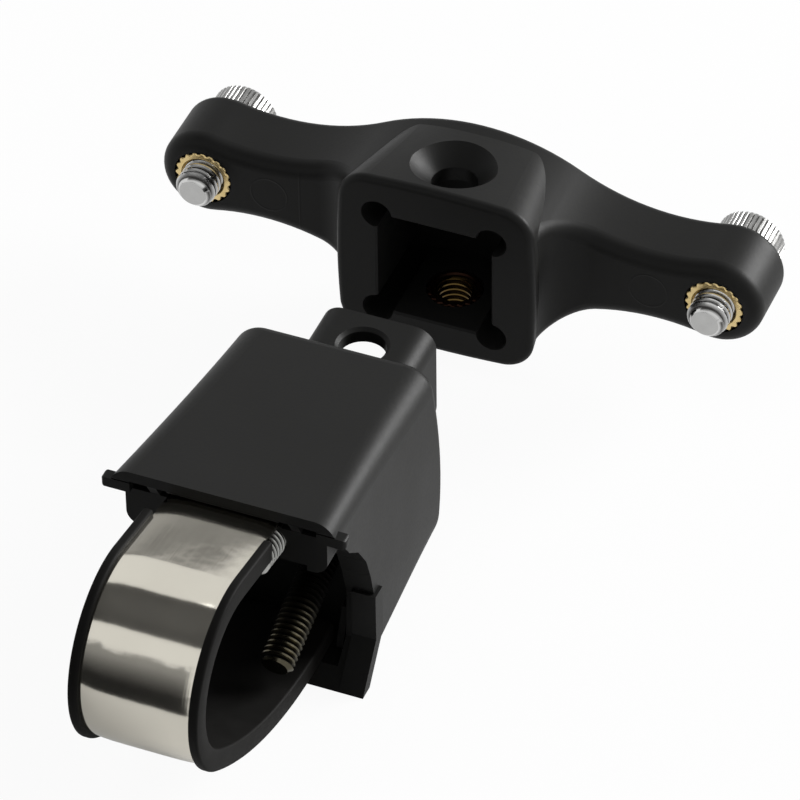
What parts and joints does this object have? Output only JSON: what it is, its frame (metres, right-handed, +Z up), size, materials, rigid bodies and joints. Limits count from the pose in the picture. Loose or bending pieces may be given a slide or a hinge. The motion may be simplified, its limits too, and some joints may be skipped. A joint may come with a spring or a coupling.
{
  "type": "bottle cage adapter",
  "caption": "Strap clamp for a bicycle tube with a square peg and a T-shaped bracket that slides on it and carries a bottle cage on knurled thumbscrews; shown with the bracket drawn off.",
  "frame": {"origin": "centre of the strapped tube", "axes": "+X along the tube, +Y from the tube to the cage bracket, +Z up"},
  "size_m": [0.0752, 0.1056, 0.0321],
  "materials": {
    "nylon_black": "matte moulded nylon with a soft sheen",
    "rubber_black": "matte",
    "band_steel": "polished stainless steel",
    "screw_steel": "zinc-plated",
    "brass": "turned",
    "screw_chrome": "bright plated, straight-knurled"
  },
  "bodies": {
    "clamp": {"clamp_housing": "nylon_black", "rubber_liner": "rubber_black", "steel_band": "band_steel", "tension_insert": "brass"},
    "bracket": {"cage_bracket": "nylon_black", "cage_insert_left": "brass", "cage_insert_right": "brass", "lock_insert": "brass"},
    "left_screw": {"thumbscrew_left": "screw_chrome"},
    "right_screw": {"thumbscrew_right": "screw_chrome"},
    "tension": {"tension_screw": "screw_steel"},
    "anchor": {"anchor_screw": "screw_steel"}
  },
  "joints": [
    {"name": "bracket_slide", "type": "slide", "parent": "clamp", "child": "bracket", "axis": [0, 1, 0], "range_m": [-0.0281, 0]},
    {"name": "left_screw_turn", "type": "hinge", "parent": "bracket", "child": "left_screw", "pos_m": [-0.032, 0.0807, -0.0064], "axis": [0, 1, 0], "continuous": true},
    {"name": "right_screw_turn", "type": "hinge", "parent": "bracket", "child": "right_screw", "pos_m": [0.032, 0.0807, -0.0064], "axis": [0, 1, 0], "continuous": true},
    {"name": "tension_turn", "type": "hinge", "parent": "clamp", "child": "tension", "pos_m": [0.0056, 0.0133, -0.0125], "axis": [0, 0.9511, 0.309], "continuous": true},
    {"name": "anchor_turn", "type": "hinge", "parent": "clamp", "child": "anchor", "pos_m": [0.005, 0.00929, 0.00647], "axis": [0, 0.986, -0.1668], "continuous": true}
  ]
}
